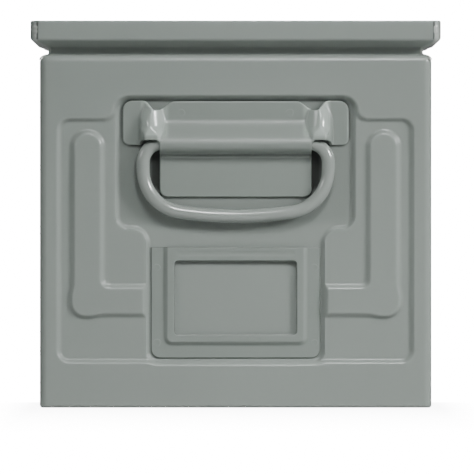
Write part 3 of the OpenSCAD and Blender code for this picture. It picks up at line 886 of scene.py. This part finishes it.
def bracket_outline(x, z):
    """The central plate and the upper strip with its ears, less the leg openings and the two notches."""
    side = np.abs(x)
    centre = rounded_box(x, z, -open_x, open_x, tie_z0, pivot_z + 12 * MM, 4 * MM)
    strip = rounded_box(x, z, -ear_x, ear_x, pivot_z - 0.9 * MM, ear_z1, 3.2 * MM)
    opening = rounded_box(side, z, open_x, knuckle_x1 - 1 * MM, tie_z0 - 9 * MM, arch_z, 2.2 * MM)
    ear_corner = rounded_box(x, z, -ear_x, ear_x, tie_z0 - 20 * MM, ear_z1, 5 * MM)
    notch = (top_edge(side) - z) * 0.75
    shape = np.maximum(centre, strip)
    return np.minimum(np.minimum(np.minimum(shape, -opening), ear_corner), notch)


def tunnel_height(z):
    """Above the hinge, a long soft slope down to the plate. Below it, a round part, a steep step back and a
    small crease."""
    lift = z - pivot_z
    slope = bracket_face - (bracket_face - plate_u) * ramp(lift + 0.5 * MM, 13.5 * MM, 0)
    round_part = pivot_u + np.sqrt(np.maximum(tunnel_r ** 2 - np.minimum(lift, 0) ** 2, 0))
    round_part = round_part - np.maximum(-lift - tunnel_r, 0) * 4.0
    crease = 0.60 * MM * np.exp(-((z - crease_z) / (0.55 * MM)) ** 2)
    return np.where(lift > 0, slope, soft_max(round_part, plate_u + 0 * z, 0.9 * MM) + crease)


def bracket_rise(x, z):
    """The plate, the tunnel as far as the knuckles, and the knuckles, which sink and narrow towards the
    notch."""
    side = np.abs(x)
    lift = z - pivot_z
    crest = bracket_face - 3.4 * MM * np.clip((lift - 4 * MM) / (14 * MM), 0, 1)
    soft = 1.5 * MM + 5.5 * MM * ramp(lift - 4 * MM, 5 * MM, 0)
    narrow = 2.6 * MM * ramp(lift - 5 * MM, 12 * MM, 1 * MM)
    tuck = 2.6 * MM * ramp(lift - 12 * MM, 9 * MM, 1 * MM)
    inner = (side - knuckle_x0 - narrow) * (crest - floor_u) / (inner_run - 0.6 * narrow)
    outer = (knuckle_x1 - tuck - side) * (crest - floor_u) / outer_run
    flank = soft_min(soft_min(inner, outer, 1.2 * MM) + floor_u, crest, soft)
    fade = ramp(z - arch_z + 6 * MM, 3 * MM, 1 * MM)
    knuckle = plate_u + (flank - plate_u) * fade
    tunnel = plate_u + (tunnel_height(z) - plate_u) * (1 - ramp(side - leg_x + 4 * MM, 2 * MM, 0.5 * MM))
    return np.minimum(soft_max(tunnel, knuckle, 0.9 * MM), bracket_face)


def highlight_spots(x, z):
    """Where a highlight is painted on and the coat is glossier: over the knuckles, and in a line along the
    crease.
    """
    side = np.abs(x)
    knuckle = ramp(side - knuckle_x0, 3 * MM, 0) * (1 - ramp(side - knuckle_x1 + 3 * MM, 2 * MM, 0))
    knuckle = knuckle * ramp(z - pivot_z - 1 * MM, 4 * MM, 0)
    return np.maximum(knuckle, (side < 38 * MM) * np.exp(-((z - crease_z) / (0.6 * MM)) ** 2))


# %% Both brackets
bracket_points, bracket_faces = plate(
    bracket_outline, bracket_rise, bracket_plate,
    np.arange(-ear_x - 0.4 * MM, ear_x + 0.8 * MM, 0.42 * MM),
    np.arange(tie_z0 - 0.4 * MM, ear_z1 + 0.8 * MM, 0.36 * MM))
# painted highlight over the knuckles and along the crease, where the coat is also glossier
highlighted = highlight_spots(bracket_points[:, 0], bracket_points[:, 1])
for end, turn in (("front", -1), ("rear", 1)):
    skin = build(f"{end}_bracket_skin", on_end(bracket_points, turn), bracket_faces, bracket_paint, "box",
                 [f"{end}_handle_bracket"], sharp=55)
    mark_points(skin.data, "gloss_and_highlight", highlighted)

# %% [markdown]
# ## Drop handles
#
# Each handle is one length of 7 mm wire, bent cold: stub, tight bend, leg, large corner, and a grip that
# bows down a little. A circle is carried along that line. Carrying it needs only the line's direction at
# each station, because the wire stays in one plane.

# %% Handle wire
stub_bend = 10 * MM
stub_length = 21 * MM
corner_bend = 22 * MM
lean = np.radians(8.4)
grip_z = grip_foot + wire_r
grip_bend = corner_bend + (leg_x - corner_bend) / np.sin(lean)
grip_centre = grip_z + grip_bend
corner_z = grip_centre - (grip_bend - corner_bend) * np.cos(lean)


def wire_line():
    """Stations of the wire as (x, z, outward angle): stub, bend, corner and half the grip, then the same
    half turned over."""
    def bent(x, z, r, start, end, n):
        """n stations on a circle of radius r about (x, z), from one angle to another."""
        angle = np.linspace(start, end, n)
        return np.stack([x + r * np.cos(angle), z + r * np.sin(angle), angle], axis=1)

    quarter = np.pi / 2
    stub_x = np.linspace(leg_x - stub_bend - stub_length, leg_x - stub_bend, 6)[:-1]
    half = np.concatenate([
        np.stack([stub_x, np.full(5, pivot_z), np.full(5, quarter)], axis=1),
        bent(leg_x - stub_bend, pivot_z - stub_bend, stub_bend, quarter, 0, 22),
        bent(leg_x - corner_bend, corner_z, corner_bend, 0, lean - quarter, 34),
        bent(0, grip_centre, grip_bend, lean - quarter, -quarter, 22)[1:]])
    other = half[-2::-1] * np.array([-1, 1, -1]) + np.array([0, 0, -np.pi])
    return np.concatenate([half, other])


def bail(name, turn, body, node):
    """The tube: centre + radius (outward cos t, sideways sin t). Four stations round each end off, as their
    radius shrinks by edge (1 - cos of a quarter turn)."""
    line = wire_line()
    around = np.linspace(0, 2 * np.pi, 33)[:-1]
    edge = 0.8 * MM
    turned = np.radians([90, 60, 30, 0])
    tip = np.repeat(line[:1], 4, axis=0)
    tip[:, 0] += edge * (1 - np.sin(turned))
    tail = tip[::-1] * np.array([-1, 1, -1]) + np.array([0, 0, -np.pi])
    tip_size = wire_r - edge * (1 - np.cos(turned))
    size = np.concatenate([tip_size, np.full(len(line) - 2, wire_r), tip_size[::-1]])
    line = np.concatenate([tip, line[1:-1], tail])
    out = size[:, None] * np.cos(around)
    x = line[:, :1] + out * np.cos(line[:, 2:])
    z = line[:, 1:2] + out * np.sin(line[:, 2:])
    y = np.broadcast_to(size[:, None] * np.sin(around), x.shape)
    points = np.stack([turn * x, turn * (half_l + pivot_u + y), z], axis=-1)
    first = np.arange(len(around))
    caps = [first[::-1].tolist(), (first + x.size - len(around)).tolist()]
    return build(name, points, tube_faces(*x.shape), handle_paint, body, [node],
                 slot="painted_wire", sharp=50, extra=caps)


bail("front_handle_wire", -1, "front_handle", "front_bail")
bail("rear_handle_wire", 1, "rear_handle", "rear_bail")

# %% [markdown]
# ## Label holder
#
# A thin plate with a window. Its middle is pressed forward to leave room for a card, which drops in from
# above, and its border is welded to the wall on three sides. Its cut edges are painted darker, as painted
# shade.

# %% Label holder
holder_plate = 0.8 * MM
card_room = 1.6 * MM
holder_flange = 6.6 * MM
pocket_x = holder_high.x - holder_flange
pocket_z0 = holder_low.z + holder_flange
window_x = pocket_x - 5.7 * MM
window_z0 = pocket_z0 + 5.7 * MM
window_z1 = holder_high.z - 7.2 * MM
hx, hz0, hz1 = holder_high.x, holder_low.z, holder_high.z


def holder_outline(x, z):
    """A plate with two rounded lower corners, square at the top, and a rounded window."""
    blank = np.minimum(rounded_box(x, z, -hx, hx, hz0, hz1 + 20 * MM, 4.6 * MM), hz1 - z)
    window = rounded_box(x, z, -window_x, window_x, window_z0, window_z1, 1.8 * MM)
    return np.minimum(blank, -window)


def holder_rise(x, z):
    """Flange, then up to the pocket's face, with one faint bead along the top bar."""
    pocket = rounded_box(x, z, -pocket_x, pocket_x, pocket_z0, hz1 + 20 * MM, 4.5 * MM)
    bar_z = (window_z1 + hz1) / 2 + 0.5 * MM
    bar_x, bar_half = window_x - 1 * MM, 1.3 * MM
    bar = rounded_box(x, z, -bar_x, bar_x, bar_z - bar_half, bar_z + bar_half, 1.2 * MM)
    face = floor_u + holder_plate + card_room * ramp(pocket, 1.9 * MM, 0.35 * MM)
    return face - 0.22 * MM * ramp(bar, 0.6 * MM, 0.4 * MM)


holder_points, holder_faces = plate(
    holder_outline, holder_rise, holder_plate,
    graded(-hx - 0.4 * MM, hx + 0.4 * MM,
           [(-hx - 1 * MM, -hx + 13 * MM), (hx - 13 * MM, hx + 1 * MM)], 0.33 * MM, 1.2 * MM),
    graded(hz0 - 0.4 * MM, hz1 + 0.4 * MM,
           [(hz0 - 1 * MM, hz0 + 14 * MM), (hz1 - 8.5 * MM, hz1 + 1 * MM)], 0.36 * MM, 1.2 * MM),
    edge=0.25 * MM)
holder = build("label_holder_skin", on_end(holder_points, -1), holder_faces, bracket_paint, "box",
               ["label_holder"], sharp=55)
# painted shade along the holder's cut edges
inside = holder_outline(holder_points[:, 0], holder_points[:, 1])
mark_points(holder.data, "shade_and_joint", 0.85 * np.clip(1 - inside / (0.55 * MM), 0, 1))

# %% [markdown]
# ## Base
#
# The base sheet lies on the foot flanges. Its middle is pressed up by a couple of millimetres, which keeps
# a loaded floor from drumming. It is the same kind of plate as the others, only lying flat.

# %% Base sheet
field_x = half_w - foot_flange - 12 * MM
field_y = half_l - foot_flange - 12 * MM


def pan_outline(x, y):
    """How far a point is inside the edge of the base sheet."""
    return rounded_box(x, y, pan_low.x, pan_high.x, pan_low.y, pan_high.y, 3 * MM)


def pan_rise(x, y):
    """Flat border and a raised middle field."""
    field = rounded_box(x, y, -field_x, field_x, -field_y, field_y, 20 * MM)
    return pan_low.z + sheet + level * ramp(field, 4 * MM, 0.8 * MM)


def both_ways(low, high, edge):
    """Fine stations near both ends, where the cut edge, the slope and its corners are."""
    return graded(low - 0.5 * MM, high + 0.5 * MM, [(low, low + edge), (high - edge, high)], 1.0 * MM, 6 * MM)


pan_points, pan_faces = plate(
    pan_outline, pan_rise, sheet, both_ways(pan_low.x, pan_high.x, 44 * MM),
    both_ways(pan_low.y, pan_high.y, 44 * MM))
build("base_skin", pan_points, pan_faces, wall_paint, "box", ["base_pan"])

# %% [markdown]
# ## Spot welds
#
# A spot weld leaves a shallow round mark with a soft rim where the electrode pressed. The marks are where
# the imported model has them, and no two are quite alike.

# %% Spot welds
spot_radius = np.array([0, 0.25, 0.45, 0.58, 0.7, 0.82, 0.93, 1.0, 1.0])
spot_lift = np.array([0.16, 0.17, 0.20, 0.26, 0.30, 0.26, 0.13, 0.0, -0.35])
spot_around = np.linspace(0, 2 * np.pi, 25)[:-1]


def islands(node, reach=5.5 * MM):
    """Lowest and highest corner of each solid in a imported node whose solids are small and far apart: the
    first point left and all points within reach of it make one solid."""
    mesh = frame["nodes"][node].data
    place = np.empty(len(mesh.vertices) * 3, np.float32)
    mesh.vertices.foreach_get("co", place)
    place = place.reshape(-1, 3)
    left, found = np.ones(len(place), bool), []
    while left.any():
        seed = place[left][0]
        mine = left & (np.abs(place - seed).max(1) < reach)
        found.append((place[mine].min(0), place[mine].max(0)))
        left &= ~mine
    return found


def spot_points(low, high, dice):
    """A low ring about a shallow dish: lift over radius, carried round the spot's short axis. The last two
    points are the middles of the dish and of the underside."""
    centre, reach = (low + high) / 2, (high - low) / 2
    axis = int(np.argmin(reach))
    outward = np.sign(centre[axis]) if axis < 2 else 1.0
    a, b = [k for k in range(3) if k != axis]
    r = reach[a] * dice.uniform(0.86, 1.0)
    wave = 1 + 0.035 * np.sin(3 * spot_around + dice.uniform(0, 6)) - 0.035
    ring = np.zeros((len(spot_radius), len(spot_around), 3))
    ring[..., a] = centre[a] + r * spot_radius[:, None] * wave * np.cos(spot_around)
    ring[..., b] = centre[b] + r * spot_radius[:, None] * wave * np.sin(spot_around)
    foot = centre[axis] - outward * reach[axis]
    ring[..., axis] = foot + outward * 2 * reach[axis] * dice.uniform(0.55, 0.9) * spot_lift[:, None]
    return np.concatenate([ring[1:].reshape(-1, 3), ring[[0, -1]].mean(1)])


def fan(ring, middle):
    """Quads over two steps of a ring and its middle point."""
    corners = [ring[0::2], ring[1::2], np.roll(ring, -2)[0::2], np.full(len(ring) // 2, middle)]
    return np.stack(corners, axis=1)


def spot_faces():
    """The faces between the rings, with a fan over the dish and another under the last ring."""
    n, m = len(spot_radius) - 1, len(spot_around)
    first = np.arange(m)
    last = first + (n - 1) * m
    return np.concatenate([tube_faces(n, m), fan(first, n * m)[:, ::-1], fan(last, n * m + 1)])


def gather(shells, faces):
    """One mesh of closed shells that share their faces' pattern, each turned outwards and numbered on."""
    all_faces, count = [], 0
    for shell in shells:
        outward = volume(shell - shell.mean(0), faces) > 0
        all_faces.append((faces if outward else faces[:, ::-1]) + count)
        count += len(shell)
    return np.concatenate(shells), np.concatenate(all_faces)


def spot_marks(name, node, paint):
    """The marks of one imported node."""
    dice = np.random.default_rng(7)
    shells = [spot_points(low, high, dice) for low, high in islands(node)]
    return build(name, *gather(shells, spot_faces()), paint, "box", [node])


for node in ("front_bracket_welds", "rear_bracket_welds", "label_holder_welds"):
    spot_marks(node.replace("_welds", "_spots"), node, plate_weld_paint)
for node in ("seam_welds", "base_welds"):
    spot_marks(node.replace("_welds", "_spots"), node, weld_paint)

# %% [markdown]
# ## Rim corner welds
#
# The rim's corners are closed with short runs of weld, rough and a little proud, which the paint doesn't
# hide. Their lighter grey is a painted highlight. A run is a flat hump carried up the corner, with ripples in
# its width and height.

# %% Rim corner welds
run_stations = 90
run_across = 9
run_width = 1.35 * MM
run_turn, run_spread = 33, 21


def rim_line(n):
    """Line of the weld over the rim's corner in (u, z), at n even stations: from the shoulder up the neck,
    under the flare, over the lip to the hem."""
    tilt = np.degrees(flare)
    rough = np.concatenate([
        arc(-shoulder_r, shoulder_z, shoulder_r, 20, 90, 12),
        arc(-shoulder_r, neck_foot, neck_r, 270, 180, 6),
        arc(-neck_in + neck_r, neck_top, neck_r, 180, 90 + tilt, 5),
        arc(lip_out - lip_r, lip_z, lip_r, tilt - 90, 0, 12),
        [[lip_out, height - 1.2 * sheet]]])
    length = np.concatenate([[0], np.cumsum(np.hypot(*np.diff(rough, axis=0).T))])
    even = np.linspace(0, length[-1], n)
    return np.stack([np.interp(even, length, rough[:, k]) for k in range(2)], axis=1)


def run_points(signs, dice):
    """One run: across it the height is 1 - s squared, sunk 0.08 mm into the rim. Below the lip the strip lies
    straight over the corner, and on the lip it wraps round it by an angle. The underside is the top moved
    inwards by 0.25 mm."""
    line = rim_line(run_stations)
    tangent = np.gradient(line, axis=0)
    tangent /= np.hypot(*tangent.T)[:, None]
    normal = np.stack([tangent[:, 1], -tangent[:, 0]], axis=1)
    t = np.linspace(0, 1, run_stations)
    ripple = np.interp(t, np.linspace(0, 1, 26), dice.uniform(-1, 1, 26))
    width = run_width + 0.35 * MM * ripple
    tall = (0.27 + 0.07 * np.sin(t * 75 + dice.uniform(0, 6)) + 0.08 * ripple) * MM
    ends = np.clip(np.minimum(t, 1 - t) * 14, 0, 1)
    across = np.linspace(-1, 1, run_across)
    hump = (1 - across ** 2) * (tall * ends)[:, None] - 0.08 * MM
    u = line[:, :1] + normal[:, :1] * hump
    z = line[:, 1:] + normal[:, 1:] * hump
    inward, round_r = np.minimum(u, 0), np.maximum(u, 0)
    wrap = across * (width / run_width * (0.5 + 0.5 * ends))[:, None]
    angle = np.radians(run_turn + run_spread * wrap)
    x = half_w + inward + round_r * np.sin(angle) + across * 0.8 * MM * (round_r < 0.5 * MM)
    y = half_l + inward + round_r * np.cos(angle)
    top = np.stack([x, y, z], axis=-1)
    below = top.copy()
    below[..., 1:] -= normal[:, None] * 0.25 * MM
    return (np.concatenate([top, below[:, ::-1]], axis=1) * np.array([*signs, 1])).reshape(-1, 3)


def run_faces():
    """The tube round the run, and a row of quads that closes each of its ends."""
    n, m = run_stations, run_across
    index = np.arange(n * 2 * m).reshape(n, 2 * m)
    left, right = index[:, :m], index[:, :m - 1:-1]
    cap = [np.stack([left[k, :-1], left[k, 1:], right[k, 1:], right[k, :-1]], axis=1) for k in (0, -1)]
    return np.concatenate([tube_faces(n, 2 * m), cap[0][:, ::-1], cap[1]])


def corner_runs(name, node):
    """A run at each of the rim's four corners."""
    dice = np.random.default_rng(11)
    shells = [run_points(signs, dice) for signs in ((1, 1), (-1, 1), (-1, -1), (1, -1))]
    return build(name, *gather(shells, run_faces()), seam_highlight_paint, "box", [node])


corner_runs("rim_corner_runs", "rim_corner_welds")
